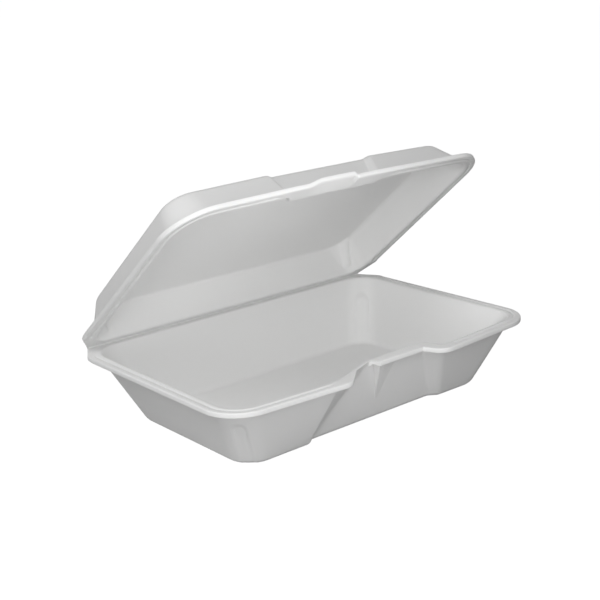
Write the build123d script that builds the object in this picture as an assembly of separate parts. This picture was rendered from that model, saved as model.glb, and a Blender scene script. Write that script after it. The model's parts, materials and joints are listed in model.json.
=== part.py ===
from build123d import *
from dataclasses import dataclass
import math
import os

# A one-compartment hinged food container, drawn from one sheet of white foam.
# The tray stands on its flat bottom. X runs along the hinge, which is at the back (+Y),
# and the origin is the centre of the tray's bottom face. All sizes are millimetres.
#
# Each half is drawn in its own frame first: the hinge line is the X axis, the rim's face
# is at Z = 0, the front is towards -Y and the cavity goes down to -Z. The lid is then
# turned over and swung open about the hinge line.

# Foam sheet
WALL = 2.4
WALL_ACROSS = 2.65
FLANGE_THICKNESS = 2.0
BEAD_ROUND = 1.2
ROUND_STEPS = 4
SMALLEST_ROUND = 1.0

# Outer lip of the rim, and the groove pressed between the lip and the opening
LIP_HEIGHT = 2.9
LIP_THICKNESS = 2.2
LIP_ROUND = 0.9
GROOVE_START = 2.4
GROOVE_WIDTH = 2.6
GROOVE_DEPTH = 0.7
GROOVE_END = 7.0

# Perforated hinge line, and the plain stretch of rim beside it
HINGE_LENGTH = 220.0
HINGE_STRIP = 4.8
HINGE_GAP = 0.15
HINGE_CHAMFER = 14.0
HINGE_CHAMFER_ROUND = 6.0
RIM_PLAIN = 17.0
SLIT_PITCH = 4.8
SLIT_LENGTH = 3.0
SLIT_DEPTH = 1.1
OPEN_ANGLE = 39.3

# Stacking lugs pressed into the tray's corners
LUG_WIDTH = 9.4
LUG_TOP = 31.0
LUG_DEPTH = 2.0
LUG_WALL_SPREAD = 1.2

# Ribs pressed into the hinge corners of the lid
RIB_PLACE = 98.5
RIB_WIDTH = 6.4
RIB_TOP_WIDTH = 3.0
RIB_START = 4.0
RIB_REACH = 2.4

# Lock slot in the tray's recessed flange, and the gusset under the flange beside it
SLOT_LEFT = -25.0
SLOT_RIGHT = -8.0
GUSSET_WIDTH = 17.0
GUSSET_DEPTH = 5.0
GUSSET_FOOT_SHIFT = 9.0
GUSSET_FOOT_DROP = 26.0
GUSSET_FOOT_WIDTH = 1.0
GUSSET_BITE = 0.6

# Lift tab on the lid's front rim
TAB_LEFT = -32.0
TAB_RIGHT = 4.0
TAB_LENGTH = 7.0
TAB_RISE = 2.2
TAB_REACH = 1.0
TAB_ROUND = 3.0


@dataclass
class Recess:
    """The step pressed into a front wall. Each pair is its size at the rim and at the floor."""
    left: tuple
    right: tuple
    depth: tuple
    left_flare: float
    right_flare: float
    inner_round: float
    outer_round: float


@dataclass
class Half:
    """The sizes of one half. A run is how far a wall comes in between the rim and the floor."""
    width: float
    depth: float
    height: float
    flange: float
    side_run: float
    front_run: float
    back_run: float
    bow: float
    front_corner: float
    back_corner: float
    floor_round: float
    recess: Recess


TRAY = Half(
    width=236.0, depth=160.0, height=42.5, flange=8.0,
    side_run=18.9, front_run=22.0, back_run=18.8, bow=2.7,
    front_corner=17.0, back_corner=11.0, floor_round=4.0,
    recess=Recess(left=(24.0, 36.0), right=(30.0, 47.0), depth=(12.5, 4.6),
                  left_flare=15.5, right_flare=8.8, inner_round=5.0, outer_round=2.0))

LID = Half(
    width=233.6, depth=158.6, height=22.8, flange=7.6,
    side_run=10.8, front_run=13.4, back_run=3.4, bow=3.6,
    front_corner=20.0, back_corner=9.0, floor_round=4.0,
    recess=Recess(left=(39.5, 36.5), right=(25.0, 34.0), depth=(4.2, 4.2),
                  left_flare=2.6, right_flare=2.6, inner_round=1.2, outer_round=0.6))

# Where the hinge line lies in the part's frame
FLOOR_BACK = HINGE_STRIP + TRAY.back_run
FLOOR_FRONT = TRAY.depth - TRAY.flange - TRAY.front_run
HINGE_Y = (FLOOR_BACK + FLOOR_FRONT) / 2
HINGE_Z = TRAY.height + HINGE_GAP


def turn(before, here, after):
    """How sharply an outline turns at a corner, in radians, positive to the left."""
    come, go = here - before, after - here
    return math.atan2(come.X * go.Y - come.Y * go.X, come.dot(go))


def spots(corners):
    """Each corner of an outline with the corners before and after it."""
    places = [Vector(x, y) for x, y, radius in corners]
    return [(places[i - 1], places[i], places[(i + 1) % len(places)]) for i in range(len(places))]


def grown(corners, amount):
    """Move every side of an outline outward and keep its round corners concentric.

    The corners are (x, y, radius), anticlockwise seen from above.
    """
    moved = []
    for (x, y, radius), (before, here, after) in zip(corners, spots(corners)):
        come, go = (here - before).normalized(), (after - here).normalized()
        outward = Vector(come.Y + go.Y, -come.X - go.X)
        place = here + outward * (2 * amount / outward.length**2)
        change = amount if turn(before, here, after) > 0 else -amount
        moved.append((place.X, place.Y, max(radius + change, SMALLEST_ROUND)))
    return moved


def outline(corners, z):
    """A flat face from an outline. A corner is only as round as its two sides have room for."""
    around = spots(corners)
    leads = [radius * math.tan(abs(turn(*spot)) / 2) for (x, y, radius), spot in zip(corners, around)]
    radii = []
    for i, (before, here, after) in enumerate(around):
        room_before = (here - before).length / (leads[i] + leads[i - 1])
        room_after = (after - here).length / (leads[i] + leads[(i + 1) % len(leads)])
        radii.append(corners[i][2] * min(1, 0.98 * room_before, 0.98 * room_after))
    points = [(x, y, z) for x, y, radius in corners]
    return make_face(FilletPolyline(*points, radius=radii, close=True).edges())


def stack(levels):
    """A solid with straight walls through a stack of outlines, given as (height, corners)."""
    return loft([outline(corners, z) for z, corners in levels], ruled=True)


def plate(corners, bottom, top):
    """A flat plate with an outline."""
    return extrude(outline(corners, bottom), top - bottom, dir=(0, 0, 1))


def block(x_range, y_range, z_range):
    """A box from its limits."""
    sides = [high - low for low, high in (x_range, y_range, z_range)]
    middle = [(high + low) / 2 for low, high in (x_range, y_range, z_range)]
    return Pos(*middle) * Box(*sides)


def quarter(radius):
    """Steps round a quarter circle, as (how far in, how far short of its end)."""
    angles = [math.radians(90 * i / ROUND_STEPS) for i in range(ROUND_STEPS + 1)]
    return [(radius * (1 - math.cos(angle)), radius * (1 - math.sin(angle))) for angle in angles]


def section(half, z):
    """The inside of a half's walls at a height, with the recess in its front."""
    up = 1 + z / (half.height - WALL)
    run = 1 - up
    side = half.width / 2 - half.flange - half.side_run * run
    front = half.flange - half.depth + half.front_run * run
    back = -HINGE_STRIP - half.back_run * run
    recess = half.recess
    depth, left, right = (low + (high - low) * up for high, low in (recess.depth, recess.left, recess.right))
    share = depth / recess.depth[0]
    left_out = left + recess.left_flare * share
    right_out = right + recess.right_flare * share
    lean = half.bow / side
    return [
        (-side, back, half.back_corner),
        (-side, front + half.bow, half.front_corner),
        (-left_out, front + lean * left_out, recess.outer_round),
        (-left, front + depth, recess.inner_round),
        (right, front + depth, recess.inner_round),
        (right_out, front + lean * right_out, recess.outer_round),
        (side, front + half.bow, half.front_corner),
        (side, back, half.back_corner),
    ]


def body(half):
    """The solid inside the outer faces of the walls, with its floor edge rounded."""
    levels = []
    for inset, short in reversed(quarter(half.floor_round + WALL / 2)):
        z = short - half.height
        levels.append((z, grown(section(half, z), WALL_ACROSS - inset)))
    levels.append((0, grown(section(half, 0), WALL_ACROSS)))
    return stack(levels)


def cavity(half):
    """The space inside the walls, with its floor edge and the edge of its opening rounded."""
    levels = []
    for inset, short in reversed(quarter(half.floor_round)):
        z = short + WALL - half.height
        levels.append((z, grown(section(half, z), -inset)))
    for flare, short in quarter(BEAD_ROUND):
        levels.append((-short, grown(section(half, -short), flare)))
    levels.append((WALL, grown(section(half, 0), BEAD_ROUND)))
    return stack(levels)


def rim(half, notched):
    """The outline of the rim. It runs on past the hinge line, where the sheet is cut later."""
    around = grown(section(half, 0), half.flange)
    front = around[1:7] if notched else [around[1], around[2], around[5], around[6]]
    side = half.width / 2
    back = HINGE_CHAMFER / 2
    slope = (side - HINGE_LENGTH / 2) / (HINGE_CHAMFER - HINGE_GAP)
    back_side = side - slope * (HINGE_CHAMFER + back)
    shoulder = [(side, -HINGE_CHAMFER, HINGE_CHAMFER_ROUND), (back_side, back, SMALLEST_ROUND)]
    return [(-x, y, radius) for x, y, radius in reversed(shoulder)] + front + shoulder


def flange(half, notched):
    """The flat flange with its thicker, rounded outer lip."""
    border = rim(half, notched)
    everywhere = (-half.width, half.width)
    lip = plate(border, -LIP_HEIGHT, 0) - plate(grown(border, -LIP_THICKNESS), -LIP_HEIGHT, 0)
    lip -= block(everywhere, (-RIM_PLAIN, half.depth), (-LIP_HEIGHT, 0))
    solid = plate(border, -FLANGE_THICKNESS, 0) + lip
    solid = fillet(solid.faces().sort_by(Axis.Z)[-1].outer_wire().edges(), LIP_ROUND)
    return solid - block(everywhere, (-HINGE_GAP, half.depth), (-LIP_HEIGHT, 1))


def groove(half):
    """The channel pressed into the rim's face. It stops short of the hinge and of the recess."""
    opening = section(half, 0)
    inner, outer = (grown(opening, GROOVE_START + width) for width in (0, GROOVE_WIDTH))
    ring = plate(outer, -GROOVE_DEPTH, 1) - plate(inner, -GROOVE_DEPTH, 1)
    ring -= block((-half.width, half.width), (-RIM_PLAIN, half.depth), (-GROOVE_DEPTH, 1))
    ends = (opening[2][0] - GROOVE_END, opening[5][0] + GROOVE_END)
    return ring - block(ends, (-half.depth, -half.depth / 2), (-GROOVE_DEPTH, 1))


def slits(half):
    """The row of short cuts along the hinge line."""
    count = int(HINGE_LENGTH / SLIT_PITCH)
    y_range = (-HINGE_GAP - SLIT_DEPTH, half.depth)
    cuts = []
    for i in range(count):
        x = (i - (count - 1) / 2) * SLIT_PITCH
        cuts.append(block((x - SLIT_LENGTH / 2, x + SLIT_LENGTH / 2), y_range, (-LIP_HEIGHT, 1)))
    return cuts


def lug(half, right, front, spread, sunk):
    """A round-topped panel that leans with a corner of the tray, cut in from outside."""
    middle = -half.height / 2
    places = []
    for z in (middle, middle + 1):
        corners = grown(section(half, z), WALL_ACROSS)
        x, y, radius = corners[(6 if right else 1) if front else (7 if right else 0)]
        short = radius * (1 - math.sqrt(0.5))
        places.append(Vector(x - math.copysign(short, x), y + (short if front else -short), z))
    rise = places[1] - places[0]
    outward = Vector(1 if right else -1, -1 if front else 1)
    along = Vector(-outward.Y, outward.X).normalized()
    normal = along.cross(rise)
    plane = Plane(origin=places[0], x_dir=along, z_dir=normal)
    width = LUG_WIDTH + 2 * spread
    top = (LUG_TOP - half.height - middle) / plane.y_dir.Z + spread
    panel = Pos(0, top - half.height) * SlotOverall(2 * half.height, width, rotation=90)
    return extrude(plane.offset(-LUG_DEPTH - sunk) * panel, half.flange + LUG_DEPTH, dir=plane.z_dir)


def slot(half):
    """The lock slot: the recessed flange cut away down to the wall's outer face."""
    wall_face = grown(section(half, 0), WALL_ACROSS)[3][1]
    return block((SLOT_LEFT, SLOT_RIGHT), (-half.depth, wall_face), (-LIP_HEIGHT, 1))


def gusset(half):
    """The wedge under the recessed flange that stiffens the slot's right end."""
    def sheet(z, left, right, reach):
        bite = grown(section(half, z), WALL_ACROSS)[3][1] + GUSSET_BITE
        back = bite + GUSSET_BITE
        return make_face(Polyline((left, bite - reach, z), (right, bite, z), (right, back, z),
                                  (left, back, z), close=True).edges())
    foot = SLOT_RIGHT + GUSSET_FOOT_SHIFT
    top = sheet(-FLANGE_THICKNESS / 2, SLOT_RIGHT, SLOT_RIGHT + GUSSET_WIDTH, GUSSET_DEPTH + GUSSET_BITE)
    return loft([sheet(-GUSSET_FOOT_DROP, foot, foot + GUSSET_FOOT_WIDTH, 0), top], ruled=True)


def rib(half, right):
    """The rib that stands in a hinge corner of the lid and narrows towards the roof."""
    top = -RIB_START - RIB_WIDTH / 2
    back = section(half, top)[0][1]
    cone = Cone(RIB_TOP_WIDTH / 2, RIB_WIDTH / 2, half.height + top, align=(Align.CENTER, Align.CENTER, Align.MAX))
    place = Pos(RIB_PLACE if right else -RIB_PLACE, back + RIB_WIDTH / 2 - RIB_REACH, top)
    return place * (cone + Sphere(RIB_WIDTH / 2))


def lifted_tab(half):
    """The stretch of the lid's front flange that is bent away from the tray."""
    front = -half.depth - TAB_REACH
    fold = front + TAB_LENGTH
    side = Polyline((TAB_LEFT, fold, 0), (TAB_LEFT, fold, -FLANGE_THICKNESS),
                    (TAB_LEFT, front, -FLANGE_THICKNESS - TAB_RISE), (TAB_LEFT, front, -TAB_RISE), close=True)
    bent = extrude(make_face(side.edges()), TAB_RIGHT - TAB_LEFT, dir=(1, 0, 0))
    corners = [(TAB_LEFT, fold, SMALLEST_ROUND), (TAB_LEFT, front, TAB_ROUND),
               (TAB_RIGHT, front, TAB_ROUND), (TAB_RIGHT, fold, SMALLEST_ROUND)]
    return bent & plate(corners, -half.height, 1)


def make_tray():
    outer, inner = body(TRAY), cavity(TRAY)
    for right in (True, False):
        for front in (True, False):
            outer -= lug(TRAY, right, front, 0, 0)
            inner -= lug(TRAY, right, front, LUG_WALL_SPREAD, WALL)
    solid = outer + gusset(TRAY) + (flange(TRAY, notched=True) - slot(TRAY))
    return solid - inner - groove(TRAY) - slits(TRAY)


def make_lid():
    inner = cavity(LID)
    for right in (True, False):
        inner -= rib(LID, right)
    front = -LID.depth - TAB_REACH
    edge = flange(LID, notched=False)
    edge -= block((TAB_LEFT, TAB_RIGHT), (front, front + TAB_LENGTH), (-LIP_HEIGHT, 1))
    solid = body(LID) + edge + lifted_tab(LID)
    return solid - inner - groove(LID) - slits(LID)


tray = Pos(0, HINGE_Y, TRAY.height) * make_tray()
closed_lid = Pos(0, 0, HINGE_GAP) * mirror(make_lid(), about=Plane.XY)
lid = Pos(0, HINGE_Y, HINGE_Z) * Rot(-OPEN_ANGLE, 0, 0) * closed_lid

os.makedirs("parts", exist_ok=True)
for name, solid in (("tray", tray), ("lid", lid)):
    export_step(solid, f"parts/{name}.step")
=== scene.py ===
"""A hinged foam food container: its tray, lid and perforated hinge, dressed over their frame."""

import json
import math

import bmesh
import bpy
from bpy.props import FloatProperty, FloatVectorProperty, IntProperty, PointerProperty
from mathutils import Matrix, Vector
from mathutils.geometry import intersect_line_line_2d


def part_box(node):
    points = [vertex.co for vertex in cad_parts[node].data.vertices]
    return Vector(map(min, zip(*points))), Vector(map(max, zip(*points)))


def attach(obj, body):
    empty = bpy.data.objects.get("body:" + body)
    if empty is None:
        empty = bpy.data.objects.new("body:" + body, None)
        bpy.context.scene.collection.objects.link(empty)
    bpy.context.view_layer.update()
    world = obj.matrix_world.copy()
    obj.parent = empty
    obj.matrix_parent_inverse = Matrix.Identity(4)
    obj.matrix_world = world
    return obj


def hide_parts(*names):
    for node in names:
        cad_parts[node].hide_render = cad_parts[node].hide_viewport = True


bl_info = {
    "name": "Hinged foam food container",
    "version": (1, 0, 0),
    "blender": (4, 5, 0),
    "location": "View3D > Sidebar > Container",
    "description": "Builds the foam tray and lid over their frame, and the stage they stand on",
    "category": "Object",
}

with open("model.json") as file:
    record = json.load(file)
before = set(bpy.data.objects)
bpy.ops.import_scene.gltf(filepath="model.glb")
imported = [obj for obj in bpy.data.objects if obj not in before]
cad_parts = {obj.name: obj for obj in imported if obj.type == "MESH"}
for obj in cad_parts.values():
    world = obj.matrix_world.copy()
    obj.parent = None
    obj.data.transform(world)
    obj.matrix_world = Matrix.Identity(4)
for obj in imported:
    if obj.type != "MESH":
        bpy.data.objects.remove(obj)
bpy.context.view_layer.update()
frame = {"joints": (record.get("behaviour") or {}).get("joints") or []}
HINGE = frame["joints"][0]
HINGE_POINT = Vector(HINGE["pos_m"])
OPEN_ANGLE = -math.radians(HINGE["range_deg"][0])
TRAY_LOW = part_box("tray")[0]
MM = 0.001
# Edges that turn by less than this are shaded smooth.
SMOOTH_ANGLE = math.radians(40)
# How far in from the edge of the flat floor or roof its lines lie, and where its lugs fade out.
FLAT_INSETS = [15 * MM, 7 * MM, 3 * MM, 1 * MM]
FLAT_FADE = 9 * MM


def length(name, description, millimetres):
    """A length that a user may change, given in millimetres."""
    return FloatProperty(name=name, description=description, default=millimetres * MM, unit="LENGTH")


def angle(name, description, degrees):
    """An angle that a user may change, given in degrees."""
    return FloatProperty(name=name, description=description, default=math.radians(degrees), subtype="ANGLE")


def power(name, description, watts):
    """The power of a lamp that a user may change, given in watts."""
    return FloatProperty(name=name, description=description, default=watts, unit="POWER")


def share_of(name, description, value):
    """A share between 0 and 1 that a user may change."""
    return FloatProperty(name=name, description=description, default=value, subtype="FACTOR")


def count_of(name, description, value):
    """A number of points or rows that a user may change."""
    return IntProperty(name=name, description=description, default=value)


def colour(name, description, value):
    """A colour that a user may change."""
    return FloatVectorProperty(name=name, description=description, default=value, subtype="COLOR", size=3)


class SheetSizes(bpy.types.PropertyGroup):
    """The foam sheet and the sections that both halves share."""
    wall_across: length("Wall across", "Level distance between the two faces of a wall", 2.65)
    wall: length("Wall", "Thickness of the floor and the roof", 2.4)
    flange_thickness: length("Flange thickness", "Thickness of the flat rim", 2.0)
    bead_round: length("Opening round", "Rounding of the opening's edge", 1.2)
    lip_height: length("Lip height", "Height of the rim's outer lip", 2.9)
    lip_thickness: length("Lip thickness", "Width of the rim's outer lip", 2.2)
    lip_round: length("Lip round", "Rounding of the lip's top edge", 0.9)
    lip_foot_round: length("Lip foot round", "Rounding of the lip's lower edge", 0.5)
    groove_start: length("Groove start", "From the opening to the pressed groove", 2.4)
    groove_width: length("Groove width", "Width of the pressed groove", 2.6)
    groove_depth: length("Groove depth", "Depth of the pressed groove", 0.7)
    groove_end: length("Groove end", "From the recess to the end of the groove", 7.0)
    under_round: length("Under round", "Hollow between the flange and the wall below it", 1.5)


class HingeSizes(bpy.types.PropertyGroup):
    """The perforated hinge line and the plain rim beside it."""
    span: length("Hinge length", "Length of the hinge line", 220.0)
    strip: length("Hinge strip", "From the hinge line to the opening", 4.8)
    gap: length("Hinge gap", "From the hinge axis to each half", 0.15)
    chamfer: length("Shoulder", "Where the rim turns in to the hinge line", 14.0)
    chamfer_round: length("Shoulder round", "Rounding of that turn", 6.0)
    plain: length("Plain rim", "From the hinge line to the start of the lip", 17.0)
    fade: length("Lip fade", "Over this length the lip and the groove begin", 2.5)
    slit_pitch: length("Slit pitch", "From one slit to the next", 4.8)
    slit_length: length("Slit length", "Length of a slit", 3.0)
    slit_depth: length("Slit depth", "How far a slit cuts into each half", 0.5)
    slit_round: length("Slit round", "Rounding of a slit's corners", 0.4)
    film_radius: length("Film radius", "Radius of the foam film left along the hinge line", 0.42)


class HalfSizes:
    """The sizes that each half has. A run is how far a wall comes in between the rim and the floor."""

    def between(self, name, up):
        """A size that changes from the floor (0) to the rim (1)."""
        low, high = getattr(self, name + "_floor"), getattr(self, name + "_rim")
        return low + (high - low) * up


class TraySizes(HalfSizes, bpy.types.PropertyGroup):
    """The lower half."""
    width: length("Width", "Width over the rim", 236.0)
    depth: length("Depth", "From the hinge line to the front of the rim", 159.0)
    height: length("Height", "From the bottom to the rim's face", 42.5)
    flange: length("Flange", "Width of the rim", 8.0)
    spread: length("Spread", "How much wider the rim is beside the hinge", 0.0)
    side_run: length("Side run", "How far a side wall comes in to the floor", 18.9)
    front_run: length("Front run", "How far the front wall comes in", 21.0)
    back_run: length("Back run", "How far the back wall comes in", 18.8)
    bow_rim: length("Bow at the rim", "How far the front's corners lie back", 4.8)
    bow_floor: length("Bow at the floor", "How far the front's corners lie back", 0.0)
    front_corner_rim: length("Front corner at the rim", "Radius of the front corners", 15.5)
    front_corner_floor: length("Front corner at the floor", "Radius of the front corners", 13.0)
    back_corner_rim: length("Back corner at the rim", "Radius of the back corners", 16.0)
    back_corner_floor: length("Back corner at the floor", "Radius of the back corners", 14.0)
    floor_round: length("Floor round", "Rounding between a wall and the floor", 1.9)
    left_rim: length("Recess left at the rim", "Left end of the recess", 11.0)
    left_floor: length("Recess left at the floor", "Left end of the recess", 48.4)
    right_rim: length("Recess right at the rim", "Right end of the recess", 33.0)
    right_floor: length("Recess right at the floor", "Right end of the recess", 49.8)
    left_mouth_rim: length("Left mouth at the rim", "Where the left flank starts", 42.0)
    left_mouth_floor: length("Left mouth at the floor", "Where the left flank starts", 50.2)
    right_mouth_rim: length("Right mouth at the rim", "Where the right flank starts", 37.4)
    right_mouth_floor: length("Right mouth at the floor", "Where the right flank starts", 55.2)
    recess_rim: length("Recess depth at the rim", "Depth of the recess", 12.5)
    recess_floor: length("Recess depth at the floor", "Depth of the recess", 4.4)
    left_round: length("Left round", "Rounding at the recess's left end", 16.0)
    right_round: length("Right round", "Rounding at the recess's right end", 5.0)
    mouth_round: length("Mouth round", "Rounding at the mouth of the recess", 2.0)


class LidSizes(HalfSizes, bpy.types.PropertyGroup):
    """The upper half."""
    width: length("Width", "Width over the rim", 233.6)
    depth: length("Depth", "From the hinge line to the front of the rim", 157.2)
    height: length("Height", "From the roof to the rim's face", 22.8)
    flange: length("Flange", "Width of the rim", 7.6)
    spread: length("Spread", "How much wider the rim is beside the hinge", 1.2)
    side_run: length("Side run", "How far a side wall comes in to the roof", 9.2)
    front_run: length("Front run", "How far the front wall comes in", 12.7)
    back_run: length("Back run", "How far the back wall comes in", 4.6)
    bow_rim: length("Bow at the rim", "How far the front's corners lie back", 2.4)
    bow_floor: length("Bow at the roof", "How far the front's corners lie back", 2.4)
    front_corner_rim: length("Front corner at the rim", "Radius of the front corners", 20.0)
    front_corner_floor: length("Front corner at the roof", "Radius of the front corners", 13.0)
    back_corner_rim: length("Back corner at the rim", "Radius of the back corners", 12.0)
    back_corner_floor: length("Back corner at the roof", "Radius of the back corners", 15.0)
    floor_round: length("Roof round", "Rounding between a wall and the roof", 1.8)
    left_rim: length("Recess left at the rim", "Left end of the recess", 39.5)
    left_floor: length("Recess left at the roof", "Left end of the recess", 36.5)
    right_rim: length("Recess right at the rim", "Right end of the recess", 23.5)
    right_floor: length("Recess right at the roof", "Right end of the recess", 36.0)
    left_mouth_rim: length("Left mouth at the rim", "Where the left flank starts", 42.1)
    left_mouth_floor: length("Left mouth at the roof", "Where the left flank starts", 39.1)
    right_mouth_rim: length("Right mouth at the rim", "Where the right flank starts", 26.1)
    right_mouth_floor: length("Right mouth at the roof", "Where the right flank starts", 38.6)
    recess_rim: length("Recess depth at the rim", "Depth of the recess", 4.2)
    recess_floor: length("Recess depth at the roof", "Depth of the recess", 3.2)
    left_round: length("Left round", "Rounding at the recess's left end", 1.2)
    right_round: length("Right round", "Rounding at the recess's right end", 1.2)
    mouth_round: length("Mouth round", "Rounding at the mouth of the recess", 0.6)


class FeatureSizes(bpy.types.PropertyGroup):
    """The lugs, slot, gusset, ribs and tab that are pressed into the halves."""
    lug_width: length("Lug width", "Width of a stacking lug, outside", 7.6)
    lug_spread: length("Lug spread", "How much wider a lug is inside, on each edge", 1.2)
    lug_top: length("Lug top", "Height of a lug's arch above the bottom", 31.0)
    lug_depth: length("Lug depth", "How far a lug is pressed in at its top", 2.0)
    lug_foot_depth: length("Lug foot depth", "How far it is pressed in at its foot", 0.6)
    lug_soft: length("Lug softness", "Width of a lug's rounded edge inside its outline", 1.3)
    lug_outer_soft: length("Lug outer softness", "Width of that edge outside its outline", 0.52)
    slot_front_left: length("Slot front left", "Where the slot's slanted end leaves the rim", -38.9)
    slot_back_left: length("Slot back left", "Where that end would meet the inside of the wall", -15.8)
    slot_back_right: length("Slot back right", "Right end of the slot at the wall", -10.4)
    slot_front_right: length("Slot front right", "Where that end would meet the front", 3.0)
    gusset_left: length("Gusset left", "Where the gusset's side face stands", -7.0)
    gusset_width: length("Gusset width", "Width of the gusset under the flange", 21.0)
    gusset_depth: length("Gusset depth", "How far the gusset stands out", 5.2)
    gusset_shift: length("Gusset shift", "How far its foot lies to the right", 9.5)
    gusset_drop: length("Gusset drop", "How far its foot lies below the rim", 33.0)
    gusset_round: length("Gusset round", "Rounding of the gusset's ridge", 0.8)
    gusset_bite: length("Gusset bite", "How far the gusset runs into the wall", 0.6)
    rib_place: length("Rib place", "From the middle to a rib in the lid", 98.5)
    rib_width: length("Rib width", "Width of a rib at the rim", 6.4)
    rib_top_width: length("Rib top width", "Width of a rib at the roof", 3.0)
    rib_start: length("Rib start", "From the rim to the start of a rib", 4.0)
    rib_lead: length("Rib lead", "How far before its start a rib begins to rise", 1.0)
    rib_rise: length("Rib rise", "How far past its start a rib has its full reach", 3.0)
    rib_reach: length("Rib reach", "How far a rib stands out of the wall", 2.4)
    tab_left: length("Tab left", "Left end of the lift tab", -32.0)
    tab_right: length("Tab right", "Right end of the lift tab", 4.0)
    tab_fade: length("Tab fade", "Over this length the tab rises from the rim", 12.0)
    tab_end: length("Tab end", "Half the length over which its right end drops", 0.5)
    tab_length: length("Tab length", "Width of the stretch of rim that is bent", 7.0)
    tab_rise: length("Tab rise", "How far the tab's edge is bent away", 2.2)
    tab_reach: length("Tab reach", "How far the tab stands out of the rim", 0.8)


class MeshDetail(bpy.types.PropertyGroup):
    """How finely the sheet is divided."""
    corner: count_of("Corner", "Points round a large corner", 26)
    small_corner: count_of("Small corner", "Points round a corner of the recess", 9)
    side: count_of("Side", "Points along a side", 34)
    front: count_of("Front", "Points along each end of the front", 24)
    flank: count_of("Flank", "Points along a flank of the recess", 10)
    recess: count_of("Recess", "Points along the back of the recess", 60)
    back: count_of("Back", "Points along the hinge side", 70)
    back_end: count_of("Back end", "Extra points at each end of that side", 14)
    wall: count_of("Wall", "Rows of faces up a wall", 26)
    quarter: count_of("Quarter", "Rows of faces round a rounded edge", 6)
    small_quarter: count_of("Small quarter", "Rows round a small edge", 4)
    groove: count_of("Groove", "Rows of faces across the groove", 8)


class FoamLook(bpy.types.PropertyGroup):
    """The colour and surface of the foam."""
    white: colour("White", "Colour of the foam", (0.95, 0.95, 0.945))
    shade: colour("Cell shade", "Colour between the cells", (0.765, 0.765, 0.765))
    cell: length("Cell", "Size of a foam cell", 1.1)
    roughness: share_of("Roughness", "Roughness of the foam's skin", 0.42)
    bump: share_of("Bump", "Strength of the dents between the cells", 0.3)
    bump_depth: length("Bump depth", "Depth of those dents", 0.4)
    soft: share_of("Softness", "How much light passes into the foam", 0.4)
    soft_depth: length("Soft depth", "How far that light spreads", 2.5)


class StageLook(bpy.types.PropertyGroup):
    """The floor, camera and light."""
    floor: colour("Floor", "Colour of the floor", (0.45, 0.45, 0.45))
    floor_size: length("Floor size", "Width of the floor", 60000.0)
    camera_x: length("Camera X", "Place of the camera", -431.8)
    camera_y: length("Camera Y", "Place of the camera", -525.6)
    camera_z: length("Camera Z", "Place of the camera", 265.5)
    camera_turn: angle("Camera turn", "Turn about the vertical, from looking along +Y", -39.0)
    camera_tilt: angle("Camera tilt", "How far the camera looks down", 16.54)
    camera_roll: angle("Camera roll", "Roll about the line of sight", -2.85)
    lens: FloatProperty(name="Lens", description="Focal length of the camera", default=70.57, unit="CAMERA")
    low_lamp: power("Low lamp", "The lamp low on the left", 2.6)
    front_lamp: power("Front lamp", "The lamp near the front", 1.5)
    high_lamp: power("High lamp", "The lamp high on the left", 2.8)
    inside_lamp: power("Inside lamp", "The narrow lamp that reaches under the lid", 0.045)
    surround: share_of("Surround", "Strength of the even light from all round", 0.16)
    floor_white: share_of("Floor white", "Share of plain white in the floor that the camera sees", 0.62)
    floor_glow: FloatProperty(name="Floor glow", description="Strength of that white", default=1.58)


class ContainerSettings(bpy.types.PropertyGroup):
    """Everything that a user would change."""
    sheet: PointerProperty(type=SheetSizes)
    hinge: PointerProperty(type=HingeSizes)
    tray: PointerProperty(type=TraySizes)
    lid: PointerProperty(type=LidSizes)
    features: PointerProperty(type=FeatureSizes)
    detail: PointerProperty(type=MeshDetail)
    foam: PointerProperty(type=FoamLook)
    stage: PointerProperty(type=StageLook)


def mix(low, high, share):
    """The value or point a share of the way from one to another."""
    return low + (high - low) * share


def ease(value, start, end):
    """0 before start, 1 after end and a smooth rise between them."""
    share = min(max((value - start) / (end - start), 0.0), 1.0)
    return share * share * (3 - 2 * share)


def turn(before, here, after):
    """How sharply an outline turns at a corner, positive to the left."""
    come, go = here - before, after - here
    return math.atan2(come.x * go.y - come.y * go.x, come.dot(go))


def neighbours(corners):
    """Each corner of an outline with the corners before and after it."""
    places = [Vector((x, y)) for x, y, radius in corners]
    return [(places[i - 1], places[i], places[(i + 1) % len(places)]) for i in range(len(places))]


def grown(corners, amount):
    """Move every side of an outline outward and keep its round corners concentric."""
    smallest = 1.0 * MM
    moved = []
    for (x, y, radius), (before, here, after) in zip(corners, neighbours(corners)):
        come, go = (here - before).normalized(), (after - here).normalized()
        outward = Vector((come.y + go.y, -come.x - go.x))
        place = here + outward * (2 * amount / outward.length_squared)
        change = amount if turn(before, here, after) > 0 else -amount
        moved.append((place.x, place.y, max(radius + change, smallest)))
    return moved


def arc(before, here, after, radius, count):
    """Points round a corner, from the side before it to the side after it."""
    angle = turn(before, here, after)
    come = (here - before).normalized()
    start = here - come * radius * math.tan(abs(angle) / 2)
    spoke = Vector((come.y, -come.x)) * math.copysign(radius, angle)
    centre = start - spoke
    return [centre + Matrix.Rotation(angle * i / (count - 1), 2) @ spoke for i in range(count)]


def fitted_radii(corners):
    """The radius of each corner, no larger than its two sides have room for."""
    most = 0.98
    spots = neighbours(corners)
    leads = [radius * math.tan(abs(turn(*spot)) / 2) for (x, y, radius), spot in zip(corners, spots)]
    radii = []
    for i, (before, here, after) in enumerate(spots):
        room_before = (here - before).length / (leads[i] + leads[i - 1])
        room_after = (after - here).length / (leads[i] + leads[(i + 1) % len(leads)])
        radii.append(corners[i][2] * min(1, most * room_before, most * room_after))
    return radii


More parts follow.
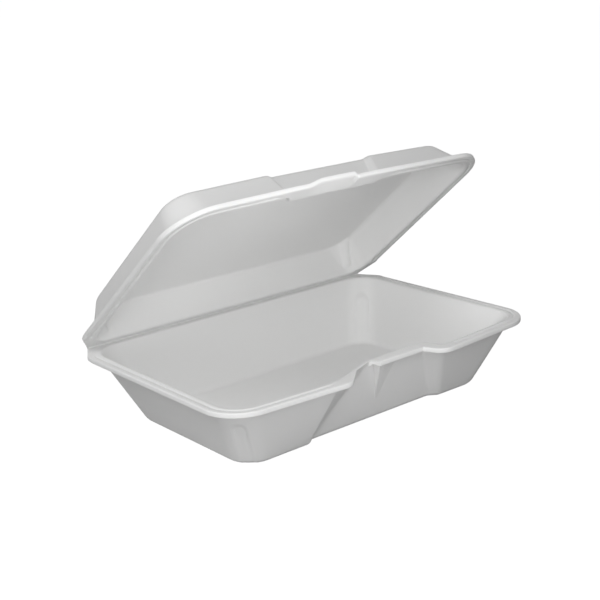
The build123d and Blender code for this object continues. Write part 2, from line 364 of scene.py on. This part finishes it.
def section(s, half, z):
    """The inside of a half's walls at a height, with the recess in its front."""
    up = 1 + z / (half.height - s.sheet.wall)
    side = half.width / 2 - half.flange - half.side_run * (1 - up)
    front = half.flange - half.depth + half.front_run * (1 - up)
    back = -s.hinge.strip - half.back_run * (1 - up)
    floor = front + half.between("recess", up)
    corner = front + half.between("bow", up)
    front_corner, back_corner = half.between("front_corner", up), half.between("back_corner", up)
    return [
        (-side, back, back_corner),
        (-side, corner, front_corner),
        (-half.between("left_mouth", up), front, half.mouth_round),
        (-half.between("left", up), floor, half.left_round),
        (half.between("right", up), floor, half.right_round),
        (half.between("right_mouth", up), front, half.mouth_round),
        (side, corner, front_corner),
        (side, back, back_corner),
    ]


def shares(count):
    """Even shares between 0 and 1, with neither end."""
    return [(i + 1) / (count + 1) for i in range(count)]


def back_shares(s):
    """Shares along the hinge side, close together at its ends, where the ribs stand."""
    end = 0.05
    close = [end * share for share in shares(s.detail.back_end)]
    middle = [mix(end, 1 - end, share) for share in [0.0] + shares(s.detail.back) + [1.0]]
    return close + middle + [1 - share for share in reversed(close)]


def plan(s):
    """How many points each corner has, and the shares of the points along the side after it."""
    d = s.detail
    big, small = d.corner, d.small_corner
    flank = shares(d.flank)
    return [(big, shares(d.side)), (big, shares(d.front)), (small, flank), (small, shares(d.recess)),
            (small, flank), (small, shares(d.front)), (big, shares(d.side)), (big, back_shares(s))]


def trace(s, corners):
    """The points of one closed line round an outline, as many on every outline."""
    radii = fitted_radii(corners)
    arcs = [arc(*spot, radius, count) for spot, radius, (count, along)
            in zip(neighbours(corners), radii, plan(s))]
    return joined(s, arcs)


def joined(s, arcs):
    """A closed line from its corners' points, with the points of the sides between them."""
    line = []
    for i, ((count, along), points) in enumerate(zip(plan(s), arcs)):
        start, end = points[-1], arcs[(i + 1) % len(arcs)][0]
        line += points + [start.lerp(end, share) for share in along]
    return line


def rim_line(s, half, notched):
    """The rim's outer line. Its back runs along the hinge, between two sloping shoulders."""
    h = s.hinge
    outline = grown(section(s, half, 0), half.flange)
    side = half.width / 2 + half.spread
    count = s.detail.corner
    slope_points = count // 3
    hinge_end = Vector((h.span / 2, -h.gap))
    round_part = arc(Vector(outline[6][:2]), Vector((side, -h.chamfer)), hinge_end,
                     h.chamfer_round, count - slope_points)
    slope = [round_part[-1].lerp(hinge_end, (i + 1) / slope_points) for i in range(slope_points)]
    right_back = round_part + slope
    left_back = [Vector((-p.x, p.y)) for p in reversed(right_back)]
    spots, radii = neighbours(outline), fitted_radii(outline)
    front_arcs = [arc(*spots[i], radii[i], plan(s)[i][0]) for i in range(1, 7)]
    if not notched:
        for i in range(1, 5):
            front_arcs[i] = [Vector((p.x, front_edge(outline, p.x))) for p in front_arcs[i]]
    return joined(s, [left_back, *front_arcs, right_back])


def front_edge(outline, x):
    """The front of a rim with no notch: straight between the mouth's corners, and bowed back outside them."""
    left, right = outline[2], outline[5]
    mouth, corner = (left, outline[1]) if x < 0 else (right, outline[6])
    if abs(x) <= abs(mouth[0]):
        return mix(left[1], right[1], (x - left[0]) / (right[0] - left[0]))
    return mix(mouth[1], corner[1], (abs(x) - abs(mouth[0])) / (abs(corner[0]) - abs(mouth[0])))


def quarter(radius, steps):
    """Steps round a quarter circle, as (how far in, how far short of its end)."""
    angles = [math.radians(90) * i / steps for i in range(steps + 1)]
    return [(radius * (1 - math.cos(a)), radius * (1 - math.sin(a))) for a in angles]


class Sheet:
    """The closed lines round one half of the sheet, from the middle of its floor, up the inside,
    over the rim, down the outside and back to the middle."""

    def __init__(self, s, half, notched):
        self.s = s
        self.half = half
        corners = section(s, half, 0)
        self.opening = trace(s, corners)
        self.rim = rim_line(s, half, notched)
        self.groove_ends = (corners[2][0] - s.sheet.groove_end, corners[5][0] + s.sheet.groove_end)
        self.lines = []

    def add(self, points, z, inside, press=1.0):
        """A level line. Press says how strongly the corner lugs and ribs move it."""
        self.lines.append([self.pressed(Vector((p.x, p.y, z)), inside, press) for p in points])

    def lipped(self, y):
        """0 on the plain rim beside the hinge and 1 where the rim has its lip."""
        h = self.s.hinge
        return ease(-y, h.plain - h.fade, h.plain)

    def grooved(self, p):
        """1 where the groove has its full depth and 0 beside the hinge and the recess."""
        h = self.s.hinge
        low, high = self.groove_ends
        clear = max(low - p.x, p.x - high) if p.y < -self.half.depth / 2 else h.fade
        return self.lipped(p.y) * ease(clear, 0, h.fade)

    def on_rim(self, across, drop, groove=0.0, lip=0.0, lip_inset=0.0):
        """A line on the rim. Across is its distance from the opening. A rounded edge is given by
        lip and lip_inset, which nearly fade out beside the hinge, where the sheet is cut square."""
        least = 0.12
        half = self.half
        line = []
        for a, b in zip(self.opening, self.rim):
            fade = mix(least, 1.0, self.lipped(b.y))
            share = (across - lip_inset * fade) / half.flange
            p = a.lerp(b, share)
            z = -drop - lip * fade - groove * self.grooved(p)
            line.append(self.bent(Vector((p.x, p.y, z)), share))
        self.lines.append(line)

    def bent(self, point, share):
        """The point moved by anything that bends the rim."""
        return point

    def pressed(self, point, inside, press):
        """The point moved by anything pressed into the walls."""
        return point

    def inside(self):
        """The lines from the middle of the floor up to the opening's edge."""
        s, half = self.s, self.half
        floor = s.sheet.wall - half.height
        edge = section(s, half, floor)
        for inset in FLAT_INSETS:
            press = 1 - min(inset / FLAT_FADE, 1)
            self.add(trace(s, grown(edge, -half.floor_round - inset)), floor, True, press)
        for inset, short in reversed(quarter(half.floor_round, s.detail.quarter)):
            self.add(trace(s, grown(section(s, half, floor + short), -inset)), floor + short, True)
        start = floor + half.floor_round
        for share in shares(s.detail.wall):
            z = mix(start, -s.sheet.bead_round, share)
            self.add(trace(s, section(s, half, z)), z, True)
        for flare, short in quarter(s.sheet.bead_round, s.detail.small_quarter):
            self.add(trace(s, grown(section(s, half, -short), flare)), -short, True)

    def over_the_rim(self):
        """The lines across the rim's face, round its lip and back under it to the wall."""
        sheet, half = self.s.sheet, self.half
        steps, groove_steps = self.s.detail.small_quarter, self.s.detail.groove
        flange = half.flange
        self.on_rim(mix(sheet.bead_round, sheet.groove_start, 0.5), 0)
        for i in range(groove_steps + 1):
            share = i / groove_steps
            depth = sheet.groove_depth * math.sin(math.pi * share) ** 2
            self.on_rim(sheet.groove_start + sheet.groove_width * share, 0, groove=depth)
        self.on_rim(mix(sheet.groove_start + sheet.groove_width, flange - sheet.lip_round, 0.5), 0)
        for drop, short in quarter(sheet.lip_round, steps):
            self.on_rim(flange, 0, lip=drop, lip_inset=short)
        extra = sheet.lip_height - sheet.flange_thickness
        foot = sheet.lip_foot_round
        self.on_rim(flange, sheet.flange_thickness - foot, lip=extra * 0.5)
        for inset, short in quarter(foot, steps):
            self.on_rim(flange, sheet.flange_thickness, lip=extra - short, lip_inset=inset)
        self.on_rim(flange - sheet.lip_thickness + foot, sheet.flange_thickness, lip=extra)
        self.on_rim(flange - sheet.lip_thickness, sheet.flange_thickness, lip=extra - foot)
        self.on_rim(flange - sheet.lip_thickness, sheet.flange_thickness, lip=foot)
        self.on_rim(flange - sheet.lip_thickness - foot, sheet.flange_thickness)

    def outside(self):
        """The lines from the rim's underside down the outer wall to the middle of the bottom."""
        s, half = self.s, self.half
        under, hollow = s.sheet.flange_thickness, s.sheet.under_round
        for near, short in quarter(hollow, s.detail.small_quarter):
            z = short - hollow - under
            away = s.sheet.wall_across + hollow - near
            self.add(trace(s, grown(section(s, half, z), away)), z, False, 0.0)
        radius = half.floor_round + s.sheet.wall / 2
        start, end = -under - hollow, radius - half.height
        for share in shares(s.detail.wall) + [1.0]:
            z = mix(start, end, share)
            self.add(trace(s, grown(section(s, half, z), s.sheet.wall_across)), z, False)
        for inset, short in quarter(radius, s.detail.quarter)[1:]:
            z = short - half.height
            self.add(trace(s, grown(section(s, half, z), s.sheet.wall_across - inset)), z, False)
        edge = section(s, half, -half.height)
        for inset in reversed(FLAT_INSETS):
            press = 1 - min(inset / FLAT_FADE, 1)
            points = trace(s, grown(edge, s.sheet.wall_across - radius - inset))
            self.add(points, -half.height, False, press)

    def all_lines(self):
        """Every line, in order."""
        self.inside()
        self.over_the_rim()
        self.outside()
        return self.lines


class TraySheet(Sheet):
    """The tray's lines, with a stacking lug pressed into each corner."""

    def pressed(self, point, inside, press):
        f, half = self.s.features, self.half
        if press == 0:
            return point
        side, front = (1 if point.x > 0 else -1), point.y < -half.depth / 2
        z = min(point.z, -self.s.sheet.bead_round)
        nearest = (6 if front else 7) if side > 0 else (1 if front else 0)
        x, y, radius = section(self.s, half, z)[nearest]
        outward = Vector((side, -1 if front else 1, 0)).normalized()
        off = Vector((point.x - x, point.y - y, 0))
        along = off.x * outward.y - off.y * outward.x
        far_from_corners = 3 * half.front_corner_rim
        if off.length > far_from_corners:
            return point
        reach = f.lug_width / 2 + (f.lug_spread if inside else 0)
        rise = max(point.z - (f.lug_top - half.height - f.lug_width / 2), 0)
        away = math.hypot(along, rise)
        strength = press * (1 - ease(away, reach - f.lug_soft, reach + f.lug_outer_soft))
        depth = mix(f.lug_foot_depth, f.lug_depth, min((point.z + half.height) / f.lug_top, 1))
        return point - outward * depth * strength


class LidSheet(Sheet):
    """The lid's lines, with a rib in each hinge corner and the lift tab on the front of its rim."""

    def pressed(self, point, inside, press):
        f, half = self.s.features, self.half
        if not inside or point.y < -half.depth / 4:
            return point
        rise = -point.z
        width = mix(f.rib_width, f.rib_top_width, ease(rise, f.rib_start, half.height))
        away = abs(abs(point.x) - f.rib_place) / (width / 2)
        if away > 1:
            return point
        risen = ease(rise, f.rib_start - f.rib_lead, f.rib_start + f.rib_rise)
        strength = press * math.cos(away * math.pi / 2) * risen
        return point - Vector((0, f.rib_reach * strength, 0))

    def bent(self, point, share):
        f, half = self.s.features, self.half
        if point.y > -half.depth / 2:
            return point
        left_end = ease(point.x, f.tab_left, f.tab_left + f.tab_fade)
        right_end = 1 - ease(point.x, f.tab_right - f.tab_end, f.tab_right + f.tab_end)
        fold = 1 - f.tab_length / half.flange
        # The fold would end past the rim's edge, so the tab is still turning where it stops.
        fold_end = 1 + (1 - fold) * 0.4
        lift = left_end * right_end * ease(share, fold, fold_end)
        return point - Vector((0, f.tab_reach * lift, f.tab_rise * lift))


def new_piece(name, mesh):
    """A new object with its place in its mesh."""
    piece = bpy.data.objects.new(name, mesh)
    bpy.context.scene.collection.objects.link(piece)
    return piece


def close_over(bm, lines):
    """Close a surface over a list of lines. Each line is the one before it, extruded and moved."""
    loop = bmesh.ops.create_circle(bm, segments=len(lines[0]), radius=MM)["verts"]
    edges = bm.edges[:]
    for vert, place in zip(loop, lines[0]):
        vert.co = place
    bmesh.ops.holes_fill(bm, edges=edges, sides=0)
    for line in lines[1:]:
        made = bmesh.ops.extrude_edge_only(bm, edges=edges)["geom"]
        new = {v for v in made if isinstance(v, bmesh.types.BMVert)}
        edges = [e for e in made if isinstance(e, bmesh.types.BMEdge) and new.issuperset(e.verts)]
        loop = [next(e.other_vert(v) for e in v.link_edges if e.other_vert(v) in new) for v in loop]
        for vert, place in zip(loop, line):
            vert.co = place
    bmesh.ops.holes_fill(bm, edges=edges, sides=0)
    bmesh.ops.recalc_face_normals(bm, faces=bm.faces)


def piece_from(name, bm):
    """A new object from a finished bmesh."""
    mesh = bpy.data.meshes.new(name)
    bm.to_mesh(mesh)
    bm.free()
    return new_piece(name, mesh)


def skin(name, lines):
    """A closed piece over a list of lines."""
    bm = bmesh.new()
    close_over(bm, lines)
    return piece_from(name, bm)


def rounded_box(bm, low, high, edge_round):
    """Add a box with rounded upright edges."""
    middle = (Vector(low) + Vector(high)) / 2
    sides = Vector(high) - Vector(low)
    place = Matrix.Translation(middle) @ Matrix.Diagonal((*sides, 1))
    made = bmesh.ops.create_cube(bm, size=1.0, matrix=place)
    edges = {e for v in made["verts"] for e in v.link_edges}
    upright = [e for e in edges if abs(e.verts[0].co.z - e.verts[1].co.z) > sides.z / 2]
    bmesh.ops.bevel(bm, geom=upright, offset=edge_round, segments=5, affect="EDGES", profile=0.5,
                    material=-1)


def apply_boolean(piece, bm, operation):
    """Cut a tool out of a piece, or join it on, and keep the result as the piece's mesh."""
    bmesh.ops.recalc_face_normals(bm, faces=bm.faces)
    mesh = bpy.data.meshes.new("tool")
    bm.to_mesh(mesh)
    bm.free()
    tool = new_piece("tool", mesh)
    step = piece.modifiers.new("tool", "BOOLEAN")
    step.object = tool
    step.operation = operation
    step.solver = "MANIFOLD"
    graph = bpy.context.evaluated_depsgraph_get()
    result = bpy.data.meshes.new_from_object(piece.evaluated_get(graph))
    piece.modifiers.clear()
    old = piece.data
    piece.data = result
    bpy.data.meshes.remove(old)
    bpy.data.objects.remove(tool)
    bpy.data.meshes.remove(mesh)


def cut_slits(s, piece):
    """Cut the row of short slits into the half's hinge edge."""
    h = s.hinge
    count = int(h.span / h.slit_pitch)
    bm = bmesh.new()
    for i in range(count):
        x = (i - (count - 1) / 2) * h.slit_pitch
        low = (x - h.slit_length / 2, -h.gap - h.slit_depth, -s.sheet.lip_height)
        rounded_box(bm, low, (x + h.slit_length / 2, h.strip, MM), h.slit_round)
    apply_boolean(piece, bm, "DIFFERENCE")


def add_gusset(s, piece):
    """Join on the wedge under the recessed flange."""
    f, half = s.features, s.tray
    wall_face = [grown(section(s, half, z), s.sheet.wall_across)[3][1] for z in (0, -f.gusset_drop)]
    bite = f.gusset_bite
    left = f.gusset_left
    foot = left + f.gusset_shift
    top = -s.sheet.flange_thickness / 2
    bm = bmesh.new()
    places = [
        (left, wall_face[0] - f.gusset_depth, top), (left + f.gusset_width, wall_face[0] + bite, top),
        (left, wall_face[0] + 2 * bite, top), (foot, wall_face[1] + bite, -f.gusset_drop),
        (foot, wall_face[1] + 2 * bite, -f.gusset_drop),
    ]
    verts = [bm.verts.new(place) for place in places]
    bmesh.ops.convex_hull(bm, input=verts)
    ridge = bm.edges.get((verts[0], verts[3]))
    bmesh.ops.bevel(bm, geom=[ridge], offset=f.gusset_round, segments=4, affect="EDGES",
                    profile=0.5, material=-1)
    apply_boolean(piece, bm, "UNION")


def front_at(face, x):
    """How far forward a plan's front lies at x."""
    for before, here in zip(face, face[1:]):
        if before.x <= x < here.x:
            return mix(before.y, here.y, (x - before.x) / (here.x - before.x))
    raise ValueError("the slot lies outside the front wall")


def cut_slot(s, piece):
    """Cut the lock slot through the recessed flange, and leave the wall behind it with its own slope."""
    f, half = s.features, s.tray
    front = Vector((f.slot_front_left, -half.depth))
    back = Vector((f.slot_back_left, section(s, half, 0)[3][1]))
    points = s.detail.small_corner * 2
    below, above = -s.sheet.lip_height - MM, MM
    lines = []
    for z in (below, 0, above):
        face = trace(s, grown(section(s, half, min(z, 0)), s.sheet.wall_across))
        meets = [intersect_line_line_2d(front, back, face[i - 1], face[i]) for i in range(len(face))]
        left = next(place.x for place in meets if place)
        xs = [mix(left, f.slot_back_right, i / (points - 1)) for i in range(points)]
        plan_line = [(x, front_at(face, x)) for x in xs]
        plan_line += [(f.slot_front_right, front.y - MM), (front.x - MM, front.y - MM)]
        lines.append([Vector((x, y, z)) for x, y in plan_line])
    bm = bmesh.new()
    close_over(bm, lines)
    apply_boolean(piece, bm, "DIFFERENCE")


def finish_piece(piece, material):
    """Smooth shading with crisp cut edges, and the foam material."""
    mesh = piece.data
    mesh.polygons.foreach_set("use_smooth", [True] * len(mesh.polygons))
    mesh.set_sharp_from_angle(angle=SMOOTH_ANGLE)
    mesh.materials.clear()
    mesh.materials.append(material)


class Maths:
    """A socket that takes part in Python expressions and adds the Math nodes for them."""

    def __init__(self, nodes, socket):
        self.nodes = nodes
        self.socket = socket

    def _join(self, other, operation, swap=False):
        first, second = (other, self) if swap else (self, other)
        return self.nodes.add("ShaderNodeMath", {"operation": operation}, {0: first, 1: second})

    def __add__(self, other):
        return self._join(other, "ADD")

    def __radd__(self, other):
        return self._join(other, "ADD", swap=True)

    def __sub__(self, other):
        return self._join(other, "SUBTRACT")

    def __rsub__(self, other):
        return self._join(other, "SUBTRACT", swap=True)

    def __mul__(self, other):
        return self._join(other, "MULTIPLY")

    def __rmul__(self, other):
        return self._join(other, "MULTIPLY", swap=True)


class NodeMaker:
    """Adds nodes to a material or world, one method for every type."""

    def __init__(self, tree):
        self.tree = tree
        tree.nodes.clear()

    def add(self, kind, settings=None, inputs=None, output=0):
        """A node of a type with its settings, then the values or links of its sockets."""
        node = self.tree.nodes.new(kind)
        for key, value in (settings or {}).items():
            if key == "stops":
                for stop, (position, shade) in zip(node.color_ramp.elements, value):
                    stop.position = position
                    stop.color = (*shade, 1)
            else:
                setattr(node, key, value)
        for key, value in (inputs or {}).items():
            if isinstance(value, Maths):
                self.tree.links.new(value.socket, node.inputs[key])
            else:
                node.inputs[key].default_value = value
        outputs = node.outputs
        return Maths(self, outputs[output]) if len(outputs) else None


def foam_material(look):
    """White foam: a faint skin of fine cells, soft dents between them and a low sheen."""
    material = bpy.data.materials.new("foam")
    material.use_nodes = True
    make = NodeMaker(material.node_tree)
    place = make.add("ShaderNodeTexCoord", output=3)
    per_cell = 1 / look.cell
    cells = make.add("ShaderNodeTexVoronoi", {"feature": "SMOOTH_F1"},
                     {"Vector": place, "Scale": per_cell, "Smoothness": 0.6, "Randomness": 1.0})

    def noise(scale, detail):
        settings = {"Vector": place, "Scale": per_cell * scale, "Detail": detail}
        return make.add("ShaderNodeTexNoise", inputs=settings)

    fine = noise(scale=2.5, detail=3.0)
    broad = noise(scale=0.12, detail=4.0)
    patches = noise(scale=0.45, detail=2.0)
    mottle = cells * 0.5 + patches * 1.2 + fine * 0.25 - 0.46
    tone = make.add("ShaderNodeMix", {"data_type": "RGBA"},
                    {0: mottle, 6: (*look.white, 1), 7: (*look.shade, 1)}, output=2)
    height = cells * 0.5 + fine * 0.35 + broad * 0.6
    bump = make.add("ShaderNodeBump", inputs={
        "Height": height, "Strength": look.bump, "Distance": look.bump_depth})
    rough = broad * 0.12 + patches * 0.08 + look.roughness
    shader = make.add("ShaderNodeBsdfPrincipled", inputs={
        "Base Color": tone, "Roughness": rough, "Normal": bump, "Specular IOR Level": 0.3,
        "Subsurface Weight": look.soft, "Subsurface Radius": (1, 1, 1),
        "Subsurface Scale": look.soft_depth})
    make.add("ShaderNodeOutputMaterial", inputs={"Surface": shader})
    return material


def settings():
    """The container's settings in the current scene."""
    return bpy.context.scene.foam_container


def foam():
    """The foam material, made once."""
    return bpy.data.materials.get("foam") or foam_material(settings().foam)


class CONTAINER_OT_tray(bpy.types.Operator):
    """Make the tray"""
    bl_idname = "container.tray"
    bl_label = "Tray"

    def execute(self, context):
        s = settings()
        piece = skin("tray_sheet", TraySheet(s, s.tray, notched=True).all_lines())
        add_gusset(s, piece)
        cut_slot(s, piece)
        cut_slits(s, piece)
        piece.data.transform(Matrix.Translation(HINGE_POINT - Vector((0, 0, s.hinge.gap))))
        finish_piece(piece, foam())
        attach(piece, "tray")
        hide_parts("tray")
        return {"FINISHED"}


class CONTAINER_OT_lid(bpy.types.Operator):
    """Make the lid"""
    bl_idname = "container.lid"
    bl_label = "Lid"

    def execute(self, context):
        s = settings()
        piece = skin("lid_sheet", LidSheet(s, s.lid, notched=False).all_lines())
        cut_slits(s, piece)
        over = Matrix.Translation((0, 0, s.hinge.gap)) @ Matrix.Diagonal((1, 1, -1, 1))
        open_up = Matrix.Translation(HINGE_POINT) @ Matrix.Rotation(-OPEN_ANGLE, 4, "X")
        piece.data.transform(open_up @ over)
        piece.data.flip_normals()
        finish_piece(piece, foam())
        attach(piece, "lid")
        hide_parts("lid")
        return {"FINISHED"}


class CONTAINER_OT_hinge_film(bpy.types.Operator):
    """Make the thin film of foam that is left along the hinge line"""
    bl_idname = "container.hinge_film"
    bl_label = "Hinge film"

    def execute(self, context):
        h = settings().hinge
        place = Matrix.Translation(HINGE_POINT) @ Matrix.Rotation(math.radians(90), 4, "Y")
        bm = bmesh.new()
        bmesh.ops.create_cone(bm, cap_ends=True, segments=16, radius1=h.film_radius, radius2=h.film_radius,
                              depth=h.span, matrix=place)
        piece = piece_from("hinge_film", bm)
        finish_piece(piece, foam())
        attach(piece, "tray")
        return {"FINISHED"}


def around(middle, turn_left, rise, distance):
    """A place at a distance from a point, turned in degrees from the front to the left, and raised."""
    to_the_left = Matrix.Rotation(math.radians(-turn_left), 4, "Z")
    raised = Matrix.Rotation(math.radians(90 - rise), 4, "X")
    return Vector(middle) + to_the_left @ raised @ Vector((0, 0, distance))


def area_light(name, place, target, size, energy, spread=180):
    """A soft square lamp that faces a point. A small spread keeps its light in a beam."""
    lamp = bpy.data.lights.new(name, "AREA")
    lamp.shape = "SQUARE"
    lamp.size = size
    lamp.energy = energy
    lamp.spread = math.radians(spread)
    obj = new_piece(name, lamp)
    facing = (Vector(target) - Vector(place)).to_track_quat("-Z", "Y")
    obj.matrix_world = Matrix.Translation(place) @ facing.to_matrix().to_4x4()


def stage_world(look):
    """White to the camera and in gloss, and an even grey light on the object."""
    world = bpy.data.worlds.new("studio")
    world.use_nodes = True
    make = NodeMaker(world.node_tree)
    ray = make.add("ShaderNodeLightPath", output="Is Camera Ray")
    path = ray.socket.node
    glossy = Maths(make, path.outputs["Is Glossy Ray"])
    through = Maths(make, path.outputs["Is Transmission Ray"])
    seen = make.add("ShaderNodeMath", {"operation": "ADD", "use_clamp": True},
                    {0: ray + glossy, 1: through})
    strength = seen * (1 - look.surround) + look.surround
    shader = make.add("ShaderNodeBackground", inputs={"Color": (1, 1, 1, 1), "Strength": strength})
    make.add("ShaderNodeOutputWorld", inputs={"Surface": shader})
    return world


def floor_material(look):
    """A pale matt floor that the camera sees as nearly white, with the object's soft shadow."""
    material = bpy.data.materials.new("floor")
    material.use_nodes = True
    make = NodeMaker(material.node_tree)
    camera = make.add("ShaderNodeLightPath", output="Is Camera Ray")
    matt = make.add("ShaderNodeBsdfDiffuse", inputs={"Color": (*look.floor, 1)})
    white = make.add("ShaderNodeEmission", inputs={"Color": (1, 1, 1, 1), "Strength": look.floor_glow})
    both = make.add("ShaderNodeMixShader", inputs={0: camera * look.floor_white, 1: matt, 2: white})
    make.add("ShaderNodeOutputMaterial", inputs={"Surface": both})
    return material


class CONTAINER_OT_stage(bpy.types.Operator):
    """Make the floor, the studio light and the camera"""
    bl_idname = "container.stage"
    bl_label = "Stage"

    def execute(self, context):
        look = settings().stage
        bm = bmesh.new()
        under = Matrix.Translation((0, 0, TRAY_LOW.z))
        bmesh.ops.create_grid(bm, x_segments=1, y_segments=1, size=look.floor_size / 2, matrix=under)
        floor = piece_from("floor", bm)
        floor.data.materials.append(floor_material(look))
        context.scene.world = stage_world(look)
        self.add_lamps(look)
        self.add_camera(context, look)
        context.scene.view_settings.view_transform = "Standard"
        return {"FINISHED"}

    def add_lamps(self, look):
        """Three broad lamps round the front left, and a narrow one that reaches under the lid."""
        middle = (0, 0, 0.06)
        soft = 0.4
        low = around(middle, turn_left=50, rise=10, distance=1.0)
        front = around(middle, turn_left=20, rise=35, distance=0.8)
        high = around(middle, turn_left=72, rise=45, distance=1.0)
        area_light("low", low, middle, soft, look.low_lamp)
        area_light("front", front, middle, soft, look.front_lamp)
        area_light("high", high, middle, soft, look.high_lamp)
        before_the_tray, under_the_lid = (0.05, -0.52, 0.07), (-0.05, 0, 0.17)
        area_light("inside", before_the_tray, under_the_lid, 0.15, look.inside_lamp, spread=30)

    def add_camera(self, context, look):
        """The photograph's camera."""
        camera = bpy.data.cameras.new("camera")
        camera.lens = look.lens
        camera.sensor_width = 36
        obj = new_piece("camera", camera)
        place = Matrix.Translation((look.camera_x, look.camera_y, look.camera_z))
        heading = Matrix.Rotation(look.camera_turn, 4, "Z")
        tilt = Matrix.Rotation(math.radians(90) - look.camera_tilt, 4, "X")
        roll = Matrix.Rotation(look.camera_roll, 4, "Z")
        obj.matrix_world = place @ heading @ tilt @ roll
        context.scene.camera = obj


class CONTAINER_PT_panel(bpy.types.Panel):
    """The container's pieces and sizes"""
    bl_idname = "CONTAINER_PT_panel"
    bl_label = "Foam container"
    bl_space_type = "VIEW_3D"
    bl_region_type = "UI"
    bl_category = "Container"

    def draw(self, context):
        layout = self.layout
        for operator in OPERATORS:
            layout.operator(operator.bl_idname)
        s = settings()
        for group in (s.sheet, s.hinge, s.tray, s.lid, s.features, s.detail, s.foam, s.stage):
            box = layout.box()
            box.label(text=group.bl_rna.name)
            for name in group.bl_rna.properties.keys():
                if name not in {"rna_type", "name"}:
                    box.prop(group, name)


GROUPS = (SheetSizes, HingeSizes, TraySizes, LidSizes, FeatureSizes, MeshDetail, FoamLook, StageLook,
          ContainerSettings)
OPERATORS = (CONTAINER_OT_tray, CONTAINER_OT_lid, CONTAINER_OT_hinge_film, CONTAINER_OT_stage)


def register():
    for cls in (*GROUPS, *OPERATORS, CONTAINER_PT_panel):
        bpy.utils.register_class(cls)
    bpy.types.Scene.foam_container = PointerProperty(type=ContainerSettings)


def unregister():
    del bpy.types.Scene.foam_container
    for cls in reversed((*GROUPS, *OPERATORS, CONTAINER_PT_panel)):
        bpy.utils.unregister_class(cls)


def main():
    register()
    bpy.ops.container.tray()
    bpy.ops.container.lid()
    bpy.ops.container.hinge_film()
    bpy.ops.container.stage()


if __name__ == "__main__":
    main()
